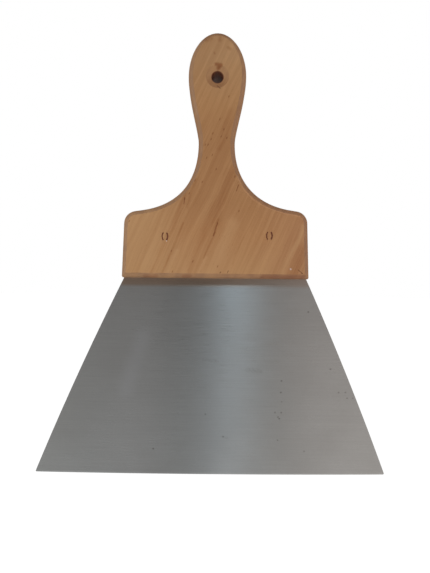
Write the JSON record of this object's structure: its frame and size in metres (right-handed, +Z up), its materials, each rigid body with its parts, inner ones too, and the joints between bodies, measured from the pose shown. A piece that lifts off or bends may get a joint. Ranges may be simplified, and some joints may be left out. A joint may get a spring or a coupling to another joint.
{
  "type": "flexible putty knife",
  "caption": "Wide flexible putty knife with a thin tapered spring-steel blade riveted into a flat wooden handle that has a hanging hole.",
  "frame": {"origin": "centre of the hanging hole, halfway through the handle", "axes": "+Z up along the centre line from the blade to the top of the handle, +X across the blade, +Y from the front face to the back"},
  "size_m": [0.25, 0.015, 0.3134],
  "materials": {
    "beech": "bare sanded beech, darkened by handling",
    "blade_steel": "brushed across, lightly spotted",
    "tang_steel": "brushed across",
    "rivet_left_steel": "dull, tarnished",
    "rivet_right_steel": "dull, tarnished"
  },
  "bodies": {
    "handle": {"handle": "beech", "blade_tang": "tang_steel", "rivet_left": "rivet_left_steel", "rivet_right": "rivet_right_steel"},
    "blade": {"blade": "blade_steel"}
  },
  "joints": [
    {"name": "blade_flex", "type": "hinge", "parent": "handle", "child": "blade", "pos_m": [0, 0, -0.1413], "axis": [1, 0, 0], "range_deg": [-25, 25], "stiffness_Nm_per_rad": 7.5}
  ]
}
